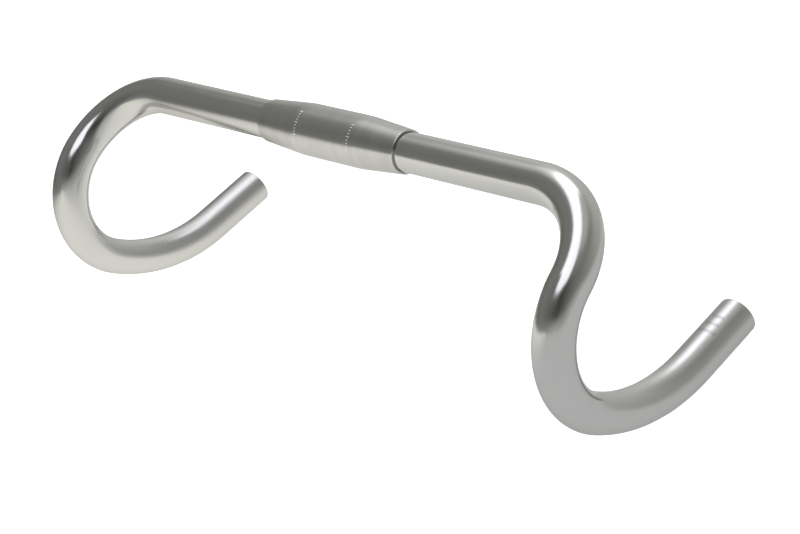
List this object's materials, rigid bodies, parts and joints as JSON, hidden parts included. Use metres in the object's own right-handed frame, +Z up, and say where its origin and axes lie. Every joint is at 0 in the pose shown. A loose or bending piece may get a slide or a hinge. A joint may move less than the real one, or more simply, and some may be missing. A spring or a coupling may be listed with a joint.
{
  "type": "drop handlebar",
  "caption": "Hollow round-tube drop handlebar with a sleeved, bulged clamp zone, sloping ramps, hooked drops and straight open ends.",
  "frame": {"origin": "centre of the clamp zone, on the tube's axis", "axes": "+X along the clamp axis to the rider's left, -Y forward, +Z up with the straight ends of the drops level"},
  "size_m": [0.4438, 0.1501, 0.1577],
  "materials": {
    "tube": "polished and clear anodised, satin",
    "sleeve": "finely brushed round the axis, satin"
  },
  "bodies": {
    "root": {"bar_tube": "tube", "clamp_sleeve": "sleeve"}
  },
  "joints": []
}
